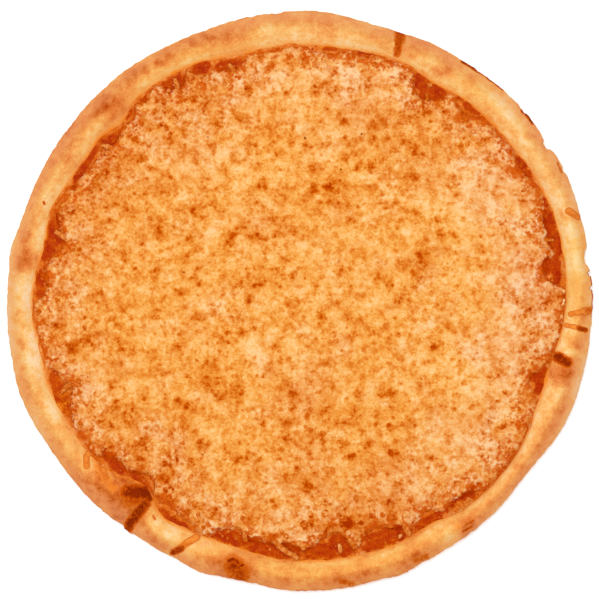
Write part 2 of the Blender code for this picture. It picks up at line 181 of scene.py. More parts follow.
# Paler places along the rim, in the same form.
PALE = (
    (5, 0.1765, 20, 0.0035, 0.8), (16, 0.171, 13, 0.006, 1.2), (12, 0.166, 9, 0.004, 0.6),
    (40, 0.169, 10, 0.006, 1.3), (63, 0.1675, 4, 0.0035, 0.5), (78, 0.1711, 4.5, 0.0045, 0.6),
    (95, 0.1655, 5, 0.004, 0.8), (128, 0.1765, 12, 0.003, 0.5), (138, 0.1625, 3.5, 0.003, 1.2),
    (158, 0.169, 3.5, 0.005, 0.7), (165, 0.164, 6, 0.003, 0.5), (182, 0.1617, 2.5, 0.0035, 0.6),
    (185, 0.1655, 6, 0.004, 0.5), (192, 0.172, 12, 0.005, 0.4), (190, 0.1765, 16, 0.0035, 0.8),
    (204, 0.1655, 4, 0.0035, 0.5), (236.3, 0.163, 1.6, 0.005, 1.2), (210.5, 0.1676, 2.6, 0.004, 0.5),
    (241, 0.164, 2.4, 0.004, 0.7), (245.8, 0.1652, 1.9, 0.0045, 0.9), (264.5, 0.1655, 2.4, 0.004, 0.6),
    (302, 0.1682, 2.4, 0.006, 1.6), (315, 0.1765, 14, 0.003, 0.8), (339, 0.166, 4.5, 0.004, 0.9),
    (345, 0.1765, 14, 0.0035, 0.9), (349.2, 0.169, 0.9, 0.008, 0.9),
)
# Burnt marks and streaks on the rim, by pixels of the picture: half width, strength, and the line's points.
BURNT = (
    (5.4, 0.62, ((400, 31), (398.5, 40))),
    (3.8, 0.62, ((398.5, 38), (396.5, 53))),
    (6.5, 1.05, ((128, 490.5), (147, 491.5))),
    (5.2, 0.58, ((129, 498), (138, 499))),
    (4.5, 0.4, ((134, 501), (127, 504))),
    (2.8, 0.9, ((152.5, 488), (151.5, 496), (146, 502))),
    (4.9, 0.95, ((145, 503.5), (137, 513), (130.5, 522), (129.5, 524))),
    (3.2, 0.8, ((173, 551), (181, 547))),
    (10.5, 0.66, ((234, 565), (239, 571))),
    (1.5, 1.1, ((228.5, 559), (233, 557), (237, 560.5))),
    (1.3, 1, ((232, 563), (238, 565.5), (243, 563))),
    (4.9, 1, ((557.5, 356.8), (565, 361.5))),
    (2.4, 0.8, ((577.5, 327.5), (584.5, 329.5))),
    (3.4, 0.42, ((590, 309.5), (586, 310.5))),
    (1.5, 0.7, ((592.5, 290), (592.5, 316))),
    (2.1, 0.85, ((462, 61), (484, 74), (502, 88))),
    (2.4, 0.9, ((523, 110), (532, 122))),
    (1.5, 0.34, ((556, 163), (561, 172))),
    (1.5, 0.6, ((589, 265), (593, 298))),
    (3.4, 0.46, ((341, 580), (351, 582))),
    (3.6, 0.42, ((415, 559), (425, 555))),
    (1.6, 0.6, ((462, 530), (470, 525))),
    (1.5, 0.5, ((465, 523), (472, 519))),
    (2.6, 0.34, ((296, 590), (306, 591))),
    (1.4, 0.36, ((153, 515), (155, 518))),
    (1.2, 0.5, ((44, 202), (45, 204))),
)
# Orange oil and sauce that ran on to the rim, in the same form.
OILY = (
    (2.6, 0.8, ((91, 449), (86, 456), (87, 465))),
    (2.4, 0.7, ((98, 455), (101, 466), (106, 477))),
    (4.2, 0.7, ((111, 463), (117, 473))),
    (3, 0.95, ((196, 537), (186, 542), (177, 549))),
    (3, 0.85, ((576.5, 217), (567, 211))),
    (1.9, 0.8, ((566, 324.5), (580, 328.5))),
    (3.8, 0.7, ((589, 309.5), (583, 311))),
    (2.3, 0.8, ((583, 311), (570, 313.5))),
)
# Broader stains of oil at the rim's foot, which have no outline, in the same form.
STAINS = (
    (12, 0.32, ((577, 284), (577, 300))), (5, 0.4, ((485, 78), (462, 86))),
    (7, 0.5, ((256, 47), (242, 52))), (5, 0.5, ((228, 53), (196, 65))),
    (5, 0.4, ((180, 68), (162, 80))), (5, 0.4, ((128, 100), (108, 122))),
    (5, 0.4, ((35, 300), (34, 318))), (5, 0.4, ((60, 420), (78, 446))),
    (5, 0.5, ((200, 541), (222, 548))), (5.5, 0.8, ((97, 467), (104, 476), (113, 486))),
    (5, 0.4, ((352, 560), (368, 556))), (5, 0.5, ((452, 530), (470, 516))),
)


def paint(red, green, blue):
    """The linear colour of a surface that looks like this 0 to 255 screen colour in the picture's light."""
    linear = [((part / 255 + 0.055) / 1.055) ** 2.4 - SHEEN for part in (red, green, blue)]
    return (*(ALBEDO_SHARE * max(part, 0.0005) for part in linear), 1.0)


def add_node(tree, kind, inputs=None, **settings):
    """A new node with its settings, and with values or links on its inputs."""
    made = tree.nodes.new(kind)
    for key, value in settings.items():
        setattr(made, key, value)
    for key, value in (inputs or {}).items():
        if isinstance(value, bpy.types.NodeSocket):
            tree.links.new(value, made.inputs[key])
        else:
            made.inputs[key].default_value = value
    return made


def place_on(tree):
    return add_node(tree, "ShaderNodeTexCoord").outputs["Object"]


def vector_calc(tree, operation, first, second):
    """Two vectors put together, or the first times the number second where the operation is SCALE."""
    inputs = {0: first, "Scale" if operation == "SCALE" else 1: second}
    return add_node(tree, "ShaderNodeVectorMath", inputs, operation=operation).outputs[0]


def noise_of(tree, size, detail=3.0, shift=0.0, distortion=0.0, roughness=0.5):
    """Noise with lumps of this size in metres, read on the object's own coordinates."""
    moved = vector_calc(tree, "ADD", place_on(tree), (shift, shift, shift))
    settings = {"Vector": moved, "Scale": 1.0 / size, "Detail": detail, "Roughness": roughness}
    return add_node(tree, "ShaderNodeTexNoise", {**settings, "Distortion": distortion}).outputs["Fac"]


def cells_of(tree, size, shift=0.0, warp=0.0):
    """A cell pattern of this size in metres, its cells pushed out of shape by a share of their size."""
    place = place_on(tree)
    wobble = add_node(tree, "ShaderNodeTexNoise", {"Vector": place, "Scale": 0.7 / size, "Detail": 2.0})
    centred = vector_calc(tree, "SUBTRACT", wobble.outputs["Color"], (0.5, 0.5, 0.5))
    moved = vector_calc(tree, "ADD", place, vector_calc(tree, "SCALE", centred, 2.0 * warp * size))
    shifted = vector_calc(tree, "ADD", moved, (shift, shift, shift))
    return add_node(tree, "ShaderNodeTexVoronoi", {"Vector": shifted, "Scale": 1.0 / size})


def calc(tree, operation, first, second=0.0, third=0.0):
    return add_node(tree, "ShaderNodeMath", {0: first, 1: second, 2: third}, operation=operation).outputs[0]


def ramp(tree, value, low, high):
    """0 below low, 1 above high, and smooth between; low above high turns it round."""
    inputs = {"Value": value, "From Min": low, "From Max": high}
    return add_node(tree, "ShaderNodeMapRange", inputs, interpolation_type="SMOOTHSTEP").outputs["Result"]


def blend(tree, share, first, second):
    """The colour that is this share of the way from first to second."""
    return add_node(tree, "ShaderNodeMix", {0: share, 6: first, 7: second}, data_type="RGBA").outputs[2]


def shades(tree, value, *stops):
    """The colour that runs through the stops, each a share and a screen colour, at this value from 0 to 1."""
    made = add_node(tree, "ShaderNodeValToRGB", {"Fac": value})
    strip = made.color_ramp.elements
    for end in (0, -1):
        strip[end].position, strip[end].color = stops[end][0], paint(*stops[end][1:])
    for share, *screen_colour in stops[1:-1]:
        strip.new(share).color = paint(*screen_colour)
    return made.outputs["Color"]


def attribute(tree, name):
    return add_node(tree, "ShaderNodeAttribute", attribute_name=name).outputs["Fac"]


def total(tree, *parts):
    """The sum of values, each times its weight; a name stands for the mesh's attribute of that name."""
    result = 0.0
    for value, weight in parts:
        value = attribute(tree, value) if isinstance(value, str) else value
        result = calc(tree, "MULTIPLY_ADD", value, weight, result)
    return result


def dress(tree, shader, colour, roughness, height, distance, strength):
    """Gives the shader its colour, its roughness, and fine relief of this distance in metres."""
    relief = add_node(tree, "ShaderNodeBump", {"Height": height, "Distance": distance, "Strength": strength})
    for name, source in (("Base Color", colour), ("Roughness", roughness), ("Normal", relief.outputs[0])):
        tree.links.new(source, shader.inputs[name])


def points_of(mesh, what="co"):
    """The corner points of a mesh, or with "normal" the way they face, as rows of x, y, z."""
    flat = np.empty(len(mesh.vertices) * 3, np.float32)
    mesh.vertices.foreach_get(what, flat)
    return flat.reshape(-1, 3).astype(float)


def angles_of(points):
    return np.degrees(np.arctan2(points[:, 1], points[:, 0])) % 360.0


def radii_of(points):
    return np.hypot(points[:, 0], points[:, 1])


def outline_of(points, bins):
    """The outermost distance of these points as a function of the angle in degrees, read in so many bins."""
    angles, radii = angles_of(points), radii_of(points)
    which = (angles / 360.0 * bins).astype(int) % bins
    best = np.zeros(bins)
    at = (np.arange(bins) + 0.5) * 360.0 / bins
    for index in np.argsort(radii):
        best[which[index]] = radii[index]
        at[which[index]] = angles[index]
    known = best > 0.0
    return lambda asked: np.interp(asked % 360.0, at[known], best[known], period=360.0)


def between(values):
    """The values, held between 0 and 1."""
    return np.clip(values, 0.0, 1.0)


def noise_on(points, size, shift=0.0, octaves=1):
    """Smooth noise from -1 to 1 at each point, with lumps of this size in metres."""
    total = np.zeros(len(points))
    for octave in range(octaves):
        scaled = points * (2.0**octave / size) + shift + 7.3 * octave
        total += np.array([noise.noise(row) for row in scaled.tolist()]) / 2.0**octave
    return total


def turned_from(angles, centre):
    return (angles - centre + 180.0) % 360.0 - 180.0


def on_plan(x, y):
    """Where a pixel of the picture lies on the pizza, seen from above."""
    middle_x = FRAME_PIXELS / 2 - 0.5 + PIXELS_RIGHT
    middle_y = FRAME_PIXELS / 2 - 0.5 + PIXELS_BELOW
    return np.array(((x - middle_x) * METRES_A_PIXEL, (middle_y - y) * METRES_A_PIXEL))


def near_line(points, pixels):
    """Each point's distance in plan, in pixels of the picture, to a line through these pixels."""
    plan = points[:, :2]
    least = np.full(len(points), np.inf)
    corners = [on_plan(*pixel) for pixel in pixels]
    for start, end in zip(corners, corners[1:]):
        run = end - start
        share = between((plan - start) @ run / (run @ run))
        least = np.minimum(least, np.linalg.norm(plan - start - share[:, None] * run, axis=1))
    return least / METRES_A_PIXEL


def marks_on(points, marks, sharpness=2.8):
    """How strongly the marks cover each point: their strength at the line, half of it at the half width."""
    total = np.zeros(len(points))
    for half_width, strength, pixels in marks:
        away = near_line(points, pixels) / half_width
        total = np.maximum(total, strength * np.exp(HALVING * away**sharpness))
    return total


def patches_on(points, patches):
    """How strongly soft patches, such as the toasted places, cover each point."""
    angles, radii = angles_of(points), radii_of(points)
    total = np.zeros(len(points))
    for angle, radius, half_angle, half_width, strength in patches:
        reach = (turned_from(angles, angle) / half_angle) ** 2 + ((radii - radius) / half_width) ** 2
        total = np.maximum(total, strength * np.exp(HALVING * reach**1.25))
    return total


def refined(mesh, wanted, cuts):
    """Cuts the mesh finer where both ends of an edge are wanted."""
    bm = bmesh.new()
    bm.from_mesh(mesh)
    bm.verts.ensure_lookup_table()
    edges = [edge for edge in bm.edges if all(wanted[vert.index] for vert in edge.verts)]
    bmesh.ops.subdivide_edges(bm, edges=edges, cuts=cuts, use_grid_fill=True)
    bmesh.ops.triangulate(bm, faces=[face for face in bm.faces if len(face.verts) > 4])
    bm.to_mesh(mesh)
    bm.free()


def discs_of(tree, size, least, most, shift=0.0, warp=0.25):
    """How deep in a round spot each place lies, with one spot of uneven radius in each cell of this size."""
    cells = cells_of(tree, size, shift=shift, warp=warp)
    cells.voronoi_dimensions = "2D"
    radius = (cells.outputs["Color"], most - least)
    return total(tree, radius, (cells.outputs["Distance"], -1.0), (1.0, least))


def store(mesh, name, values):
    """Keeps one number for each corner point, for the material to read."""
    mesh.attributes.new(name, "FLOAT", "POINT").data.foreach_set("value", values.astype(np.float32))


def solid_of(node):
    """The mesh of a CAD node."""
    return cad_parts[node].data


def move_to(mesh, points):
    mesh.vertices.foreach_set("co", points.astype(np.float32).ravel())
    mesh.update()


def modified(name, data, kind, settings, inputs=()):
    """The plain mesh that a modifier makes of the data, with these settings, and inputs by identifier."""
    holder = bpy.data.objects.new(name + "_source", data)
    scene.collection.objects.link(holder)
    modifier = holder.modifiers.new(name, kind)
    for key, value in settings.items():
        setattr(modifier, key, value)
    for identifier, value in inputs:
        modifier[identifier] = value
    bpy.context.view_layer.update()
    mesh = bpy.data.meshes.new_from_object(holder.evaluated_get(bpy.context.evaluated_depsgraph_get()))
    mesh.name = name
    bpy.data.objects.remove(holder)
    return mesh


def smooth_copy(node, name, levels):
    """A CAD node's form with its triangles paired into quads and smoothed into a finer mesh."""
    bm = bmesh.new()
    bm.from_mesh(solid_of(node))
    bmesh.ops.remove_doubles(bm, verts=bm.verts, dist=0.000001)
    bmesh.ops.join_triangles(bm, faces=bm.faces, angle_face_threshold=1.2, angle_shape_threshold=1.2)
    coarse = bpy.data.meshes.new(name + "_coarse")
    bm.to_mesh(coarse)
    bm.free()
    fine = modified(name, coarse, "SUBSURF", {"levels": levels, "render_levels": levels})
    bpy.data.meshes.remove(coarse)
    return fine


def add_piece(name, mesh, material, slot, *nodes):
    """Shows a finished mesh as a piece that rides on the pizza, and hides the solids it stands for."""
    mesh.materials.clear()
    mesh.materials.append(material)
    mesh.shade_smooth()
    piece = bpy.data.objects.new(name, mesh)
    scene.collection.objects.link(piece)
    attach(piece, "root")
    if nodes:
        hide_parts(*nodes)


sauce_outline = outline_of(points_of(solid_of("sauce")), 180)
rim_outline = outline_of(points_of(solid_of("crust")), 192)
crust_mesh = smooth_copy("crust", "baked_crust", 2)
wide_marks = [(half_width * MARK_REACH, 1.0, pixels) for half_width, strength, pixels in BURNT + OILY]
coarse_points = points_of(crust_mesh)
marked = marks_on(coarse_points, wide_marks) > 0.5
for angle, half_width, _ in EDGE_BREAKS:
    at_break = np.abs(turned_from(angles_of(coarse_points), angle)) < half_width + 0.8
    marked |= at_break & (radii_of(coarse_points) > PIZZA_RADIUS - 0.004)
refined(crust_mesh, marked & (coarse_points[:, 2] > WIDEST_HEIGHT * 0.6), MARK_CUTS)
crust_points = points_of(crust_mesh)
crust_angles = angles_of(crust_points)
crust_radii = radii_of(crust_points)
foot = sauce_outline(crust_angles) + 0.0005
across = (crust_radii - foot) / (rim_outline(crust_angles) - foot)
on_rim = between((crust_points[:, 2] - 0.0010) / 0.0030) * between(across / 0.15)
wrinkles = noise_on(crust_points, 0.009, 2.0, 3) * WRINKLE_DEPTH
nicks = noise_on(crust_points, 0.0035, 5.0, 2) * EDGE_NICK_DEPTH * between((across - 0.75) / 0.25)
upper = between((crust_points[:, 2] - 0.001) / 0.002)
burnt = upper * marks_on(crust_points, BURNT)
oily = upper * marks_on(crust_points, OILY)
burn_sink = BURN_SINK * between(burnt) * between((0.95 - across) / 0.3)
relief = (wrinkles + nicks - burn_sink + STREAK_RISE * oily) * on_rim
crust_points += points_of(crust_mesh, "normal") * relief[:, None]
broken = np.zeros(len(crust_points))
for angle, half_width, depth in EDGE_BREAKS:
    off = np.abs(turned_from(crust_angles, angle)) / half_width
    broken += depth * METRES_A_PIXEL * np.exp(HALVING * off**6)
broken *= between((across - 0.72) / 0.25)
crust_points[:, :2] *= (1.0 - broken / np.maximum(crust_radii, 0.001))[:, None]
crust_points[:, :2] = np.clip(crust_points[:, :2], *(np.array(corner[:2]) for corner in cad_box))
move_to(crust_mesh, crust_points)
tone = np.interp(across, *zip(*RIM_TONES)) + np.interp(crust_angles, *zip(*RIM_SIDES))
tone += 0.09 * noise_on(crust_points, 0.040, 9.0) + 0.17 * noise_on(crust_points, 0.015, 3.0, 2)
tone += 0.40 * np.minimum(0.0, noise_on(crust_points, 0.009, 8.0, 2) + 0.30)
tone += 0.20 * patches_on(crust_points, PALE) - 0.26 * patches_on(crust_points, TOASTED)
store(crust_mesh, "tone", np.maximum(tone, DARKEST_TOAST))
# Painted light: the colour is lightened where the rim's slope faces the middle.
outward = crust_points[:, :2] / np.maximum(crust_radii, 0.001)[:, None]
facing_in = -(points_of(crust_mesh, "normal")[:, :2] * outward).sum(axis=1)
store(crust_mesh, "painted_slope_light", 1.0 + SLOPE_PAINTED_LIGHT * between(facing_in))
store(crust_mesh, "outer_side", between((across - 0.45) / 0.35))
store(crust_mesh, "warm", np.interp(crust_angles, *zip(*RIM_WARMTH)))
store(crust_mesh, "burnt", burnt)
store(crust_mesh, "oily", oily)
foot_stains = marks_on(crust_points, STAINS, 2.0)
store(crust_mesh, "stained", np.maximum(between(1.0 - across / 0.16), foot_stains))

dough_finish, tree, shader = new_material("baked_dough", 0.015)
grain = noise_of(tree, 0.0046, 3.0, 3.0, 0.0, 0.62)
flour = noise_of(tree, 0.0011, 1.0, 5.0)
tone = total(tree, ("tone", 1.0), (grain, 0.62), (flour, 0.30), (1.0, -0.46))
colour = shades(
    tree,
    tone,
    (0.00, 112, 34, 4), (0.12, 170, 66, 14), (0.25, 201, 99, 43), (0.40, 219, 126, 65),
    (0.52, 229, 146, 82), (0.64, 237, 165, 91), (0.78, 241, 187, 115), (0.90, 243, 203, 147),
    (1.00, 245, 211, 168),
)
pink = ramp(tree, total(tree, ("outer_side", 1.0), (grain, 1.2), (1.0, -0.6)), 0.2, 1.1)
colour = blend(tree, calc(tree, "MULTIPLY", pink, 0.45), colour, paint(234, 154, 106))
yellower = vector_calc(tree, "MULTIPLY", colour, (1.0, 0.98, 0.72))
colour = blend(tree, attribute(tree, "warm"), colour, yellower)
stain_share = total(tree, ("stained", 1.0), (grain, 1.6), (1.0, -0.8))
colour = blend(tree, ramp(tree, stain_share, 0.25, 1.05), colour, paint(236, 134, 50))
oil = calc(tree, "MULTIPLY", attribute(tree, "oily"), total(tree, (grain, 2.6), (flour, 1.0), (1.0, -0.8)))
oil_colour = shades(tree, oil, (0.2, 204, 100, 36), (0.5, 218, 116, 46), (0.9, 236, 142, 62))
colour = blend(tree, ramp(tree, oil, 0.12, 0.42), colour, oil_colour)
smears = noise_of(tree, 0.0026, 2.0, 7.0, 1.2)
uneven = total(tree, (smears, 1.6), (flour, 0.7), (1.0, -0.15))
char = calc(tree, "MULTIPLY", attribute(tree, "burnt"), uneven)
charred = shades(
    tree,
    char,
    (0.15, 222, 126, 58), (0.40, 206, 99, 34), (0.65, 184, 74, 18), (0.95, 138, 50, 10),
)
colour = blend(tree, ramp(tree, char, 0.10, 0.42), colour, charred)
# Painted light: slopes that face the middle get a lighter colour, standing in for light.
colour = vector_calc(tree, "SCALE", colour, attribute(tree, "painted_slope_light"))
baked_under = noise_of(tree, 0.017, 4.0, 11.0, 0.4, 0.65)
underside = shades(
    tree,
    total(tree, (baked_under, 1.5), (grain, 0.5), (flour, 0.25), (1.0, -0.6)),
    (0.10, 138, 72, 32), (0.35, 190, 116, 62), (0.60, 222, 160, 98), (0.85, 240, 194, 136),
)
height = add_node(tree, "ShaderNodeSeparateXYZ", {0: place_on(tree)}).outputs["Z"]
colour = blend(tree, ramp(tree, height, UNDERSIDE_TOP, 0.3 * UNDERSIDE_TOP), colour, underside)
roughness = ramp(tree, attribute(tree, "oily"), 1.6, -0.2)
dress(tree, shader, colour, roughness, total(tree, (grain, 0.6), (flour, 0.4)), 0.0006, 0.6)
add_piece("baked_crust", crust_mesh, dough_finish, "crust", "crust")

# Sauce
# A thin layer of cooked tomato sauce, spread on the dough before the cheese. It shows only where the cheese's
# edge stands back from the rim, wet and dark, and it creeps a little way up the rim's foot.
SAUCE_INNER_RADIUS = 0.128
SAUCE_RINGS = 44
SAUCE_TURNS = 720
SAUCE_CREEP = 0.0016
SAUCE_SKIN = 0.00022
# Where the sauce lies bare and dark: from and to in degrees, nearest and farthest pixel from the middle.
POCKETS = (
    (3.4, 10, 253, 263), (5.8, 10.2, 243, 256), (10.5, 19.8, 254, 270), (20.5, 23, 261, 270),
    (28, 34.2, 256, 270), (46, 52, 254, 262), (54.5, 63, 240, 260), (57, 60, 234, 250),
    (73, 77.5, 252, 261), (80.5, 87.5, 252, 261), (103, 111, 242, 252), (110.5, 115.5, 247, 260),
    (117, 123, 243, 258), (127, 128.5, 250, 257), (131, 134, 249, 257), (137.5, 143, 241, 252),
    (142, 153, 250, 258), (160.5, 172, 250, 264), (165, 168, 244, 262), (173, 180, 254, 265),
    (195.5, 207, 251, 265), (216.5, 225, 241, 253), (225, 232, 236, 245), (233.5, 245, 250, 259),
    (249.5, 262, 239, 256), (256, 271, 243, 260), (270, 283, 244, 261), (277, 281.5, 236, 250),
    (284, 295.5, 243, 262), (296.5, 304.5, 251, 263), (304.5, 314, 252, 263), (338, 345.5, 249, 261),
    (340.5, 343, 241, 255),
)
POCKET_SOFTNESS = 5.0
PIXELS_A_DEGREE = 4.5

sauce_low, sauce_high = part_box("sauce")


def surface_of(mesh):
    """The mesh in the form that rays can be cast at."""
    corners = [vert.co[:] for vert in mesh.vertices]
    return BVHTree.FromPolygons(corners, [face.vertices[:] for face in mesh.polygons])


def top_of(surface, x, y, otherwise):
    """The height of a surface's top over this place."""
    hit = surface.ray_cast(Vector((x, y, 0.1)), Vector((0.0, 0.0, -1.0)))[0]
    return otherwise if hit is None else hit.z


def pockets_on(points):
    """How deep in a bare pocket of sauce each point lies: 0 outside, 1 well inside, ragged between."""
    waver = 2.8 * noise_on(points, 0.0050, 3.0, 3)
    pixels = radii_of(points) / METRES_A_PIXEL
    deepest = np.full(len(points), -np.inf)
    for first, last, nearest, farthest in POCKETS:
        half_length, half_width = (last - first) / 2, (farthest - nearest) / 2
        along = turned_from(angles_of(points), (first + last) / 2) / half_length
        out = (pixels - (nearest + farthest) / 2) / half_width
        reach = 1.0 - (np.abs(along) ** 2.6 + np.abs(out) ** 2.6) ** 0.385
        deepest = np.maximum(deepest, reach * min(half_width, half_length * PIXELS_A_DEGREE))
    return between((deepest + waver) / POCKET_SOFTNESS + 0.5)


def bare_at(turns):
    """Whether the cheese stands back from the rim at these angles: 1 at a pocket, 0 between."""
    bare = np.zeros(len(turns))
    for first, last, _, _ in POCKETS:
        along = turned_from(turns, (first + last) / 2) / ((last - first) / 2 + 0.5)
        bare = np.maximum(bare, np.sqrt(between(1.0 - along**2)))
    return bare


def ring_mesh(name, rings):
    """A closed mesh from rings of points, each inside or above the last, with both ends filled."""
    rows, columns = len(rings), len(rings[0])
    corners = [tuple(point) for ring in rings for point in ring]
    faces = []
    for below in range(0, (rows - 1) * columns, columns):
        above = below + columns
        for column in range(columns):
            after = (column + 1) % columns
            faces.append((below + column, below + after, above + after, above + column))
    faces.append(tuple(reversed(range(columns))))
    faces.append(tuple(range((rows - 1) * columns, rows * columns)))
    mesh = bpy.data.meshes.new(name)
    mesh.from_pydata(corners, [], faces)
    bm = bmesh.new()
    bm.from_mesh(mesh)
    bmesh.ops.recalc_face_normals(bm, faces=bm.faces)
    bmesh.ops.triangulate(bm, faces=[face for face in bm.faces if len(face.verts) > 4])
    bm.to_mesh(mesh)
    bm.free()
    return mesh


def ring_points(angles, radii, levels=0.0):
    """Points at these angles in degrees, distances from the middle and heights, as rows of x, y, z."""
    turns, radii, levels = np.broadcast_arrays(np.radians(angles), radii, levels)
    return np.column_stack((radii * np.cos(turns), radii * np.sin(turns), levels))


crust_tree = surface_of(crust_mesh)
turns = np.arange(SAUCE_TURNS) * 360.0 / SAUCE_TURNS
edge_points = ring_points(turns, sauce_outline(turns))
creep = SAUCE_CREEP * (0.55 + 0.75 * noise_on(edge_points, 0.012, 4.0, 3))
sauce_edge = sauce_outline(turns) + np.clip(creep, 0.0002, None)
sauce_rings = []
for share in (0.2, 0.6, 1.0):
    plan = ring_points(turns, SAUCE_INNER_RADIUS + share * (sauce_edge - SAUCE_INNER_RADIUS), sauce_low.z)
    if share == 1.0:
        plan[:, 2] = [top_of(crust_tree, x, y, sauce_low.z) - 0.0001 for x, y in plan[:, :2].tolist()]
    sauce_rings.append(plan)
for ring in range(SAUCE_RINGS):
    share = 1.0 - ring / (SAUCE_RINGS - 1)
    plan = ring_points(turns, SAUCE_INNER_RADIUS + share * (sauce_edge - SAUCE_INNER_RADIUS))
    under = np.array([top_of(crust_tree, x, y, sauce_low.z) for x, y in plan[:, :2].tolist()])
    pool = sauce_high.z - 0.00005 + 0.00022 * noise_on(plan, 0.006, 1.0, 3)
    skin = under + SAUCE_SKIN * min(1.0, ring / 2.0 + 0.3)
    plan[:, 2] = np.maximum(pool - 0.0006 * max(0.0, share - 0.97) / 0.03, skin)
    sauce_rings.append(plan)
sauce_mesh = ring_mesh("tomato_sauce", sauce_rings)
sauce_points = points_of(sauce_mesh)
sauce_angles = angles_of(sauce_points)
creep_out = (radii_of(sauce_points) - sauce_outline(sauce_angles) + 0.0010) / 0.0026
store(sauce_mesh, "creeping", between(creep_out))
store(sauce_mesh, "pocket", pockets_on(sauce_points))

sauce_finish, tree, shader = new_material("tomato_sauce", 0.012)
pulp = noise_of(tree, 0.0060, 4.0, 2.0, 0.3, 0.8)
specks = noise_of(tree, 0.0012, 2.0, 5.0)
oily_stretches = noise_of(tree, 0.016, 2.0, 14.0)
creep_share = total(tree, ("creeping", 1.0), (pulp, 1.2), (1.0, -0.6))
pocket = total(tree, ("pocket", 1.0), (specks, 0.8), (1.0, -0.4))
creeping = ramp(tree, creep_share, 0.2, 1.0)
dryness = total(tree, (pulp, 2.0), (specks, 0.6), (oily_stretches, 0.6), (creeping, 0.45), (1.0, -1.25))
dark = shades(
    tree,
    dryness,
    (0.00, 172, 50, 0), (0.30, 190, 66, 0), (0.55, 203, 84, 6), (0.80, 226, 116, 30),
    (1.00, 242, 144, 60),
)
film = shades(
    tree,
    total(tree, (pulp, 1.9), (specks, 0.9), (creeping, 0.20), (1.0, -0.95)),
    (0.00, 192, 76, 12), (0.30, 216, 102, 30), (0.60, 234, 130, 54), (1.00, 250, 172, 104),
)
colour = blend(tree, ramp(tree, pocket, 0.25, 0.75), film, dark)
relief = total(tree, (pulp, 0.7), (specks, 0.3))
dress(tree, shader, colour, ramp(tree, pulp, -0.4, 1.8), relief, 0.0008, 0.8)
add_piece("tomato_sauce", sauce_mesh, sauce_finish, "sauce", "sauce")

# Cheese
# Grated mozzarella that melted into one sheet on the sauce, bubbled, and browned in spots. Its edge is
# ragged, foamy and thin, so that the sauce colours it there, and the middle is thicker and yellower.
CHEESE_SQUARES = 300
EDGE_CROWDING = 0.45
EDGE_SINK = 0.0006
SKIRT_SINK = 0.0013
EDGE_TAPER = 0.0034
THIN_WIDTH = 0.021
OUTER_WIDTH = 0.045
FOAMY_WIDTH = 0.042
FOAM_CELL = 0.0046
SPOT_SEED = 11
SPOT_COUNT = 330
SPOTS_REACH = 0.150
SPOT_SIZES = (0.0011, 0.0033)
SPOT_STRENGTHS = (0.35, 1.15)
# Broad paler and darker places, by pixels of the picture: x, y, radius, how much.
CHEESE_SHADES = (
    (466, 196, 26, 0.9), (515, 272, 22, 0.6), (481, 362, 22, 0.7), (462, 432, 24, 0.4),
    (236, 166, 26, 0.6), (285, 95, 18, 0.5), (180, 116, 20, 0.4), (95, 277, 22, 0.5),
    (96, 392, 24, 0.5), (250, 432, 24, 0.4), (312, 350, 22, 0.4), (200, 296, 18, 0.4),
    (400, 225, 20, 0.3), (330, 188, 18, -0.9), (421, 262, 16, -0.7), (290, 296, 18, -0.6),
    (216, 384, 22, -0.7), (288, 386, 22, -0.7), (110, 333, 22, -0.5), (384, 150, 24, -0.6),
    (182, 236, 22, -0.4), (371, 360, 24, -0.4), (368, 95, 20, -0.4), (350, 480, 28, -0.3),
    (279, 366, 20, 1.1), (460, 365, 22, 1.1), (480, 300, 24, 1), (494, 174, 22, 1),
    (351, 158, 20, 0.9), (223, 176, 20, 0.9), (485, 226, 22, 0.8), (269, 330, 18, 0.7),
    (299, 273, 18, 0.7), (395, 373, 20, 0.7), (287, 95, 18, 0.7), (337, 301, 18, 0.6),
    (351, 253, 18, 0.6), (412, 213, 18, 0.6), (375, 81, 18, 0.6), (197, 119, 26, -1.4),
    (361, 501, 26, -1.3), (77, 235, 22, -1.3), (117, 439, 26, -1.3), (104, 190, 24, -1.2),
    (164, 445, 22, -1.1), (388, 155, 22, -1.1), (179, 492, 22, -1), (70, 333, 20, -1),
    (444, 120, 22, -1), (155, 119, 22, -0.9), (308, 385, 22, -0.9), (70, 275, 22, -0.9),
    (313, 505, 24, -0.9), (393, 430, 24, -0.9), (240, 104, 22, -0.8), (130, 185, 22, -0.8),
    (351, 526, 18, -0.8), (297, 457, 22, -0.7), (531, 315, 16, -0.7),
)
# Places where the froth makes the cheese pinker, in the same form.
CHEESE_PINKS = (
    (530, 280, 28, 1), (506, 344, 22, 0.8), (359, 118, 22, 0.6), (505, 175, 20, 0.6),
    (313, 378, 22, 0.6), (476, 196, 20, 0.6), (392, 482, 24, 0.6), (292, 409, 20, 0.5),
    (459, 426, 22, 0.5), (307, 456, 20, 0.5), (196, 163, 20, 0.5), (424, 175, 18, 0.5),
    (255, 218, 20, 0.4),
)
# Browned spots that stand out in the picture: x, y, radius, strength.
CHEESE_SPOTS = (
    (70, 346, 6, 1.5), (331, 187, 7, 1.3), (416, 222, 5, 0.9), (275, 345, 6, 0.9),
    (292, 302, 5, 1.2), (322, 318, 4, 0.9), (241, 333, 4, 1.2), (233, 284, 6, 1),
    (256, 287, 6, 1.1), (253, 236, 6, 1), (415, 148, 6, 1), (448, 147, 5, 1.2),
    (438, 172, 5, 0.9), (415, 213, 4, 1.2), (475, 246, 5, 1), (485, 265, 4, 1.1),
    (424, 264, 9, 0.8), (420, 155, 9, 0.7), (245, 507, 4, 0.9), (350, 524, 7, 1.3),
    (325, 530, 6, 1.1), (250, 519, 5, 0.8), (170, 455, 5, 0.9), (165, 478, 6, 1),
)

cheese_low, cheese_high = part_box("cheese")
cheese_points = points_of(solid_of("cheese"))
cheese_outline = outline_of(cheese_points[cheese_points[:, 2] < cheese_low.z + 0.00002], 184)
cheese_tree = surface_of(solid_of("cheese"))


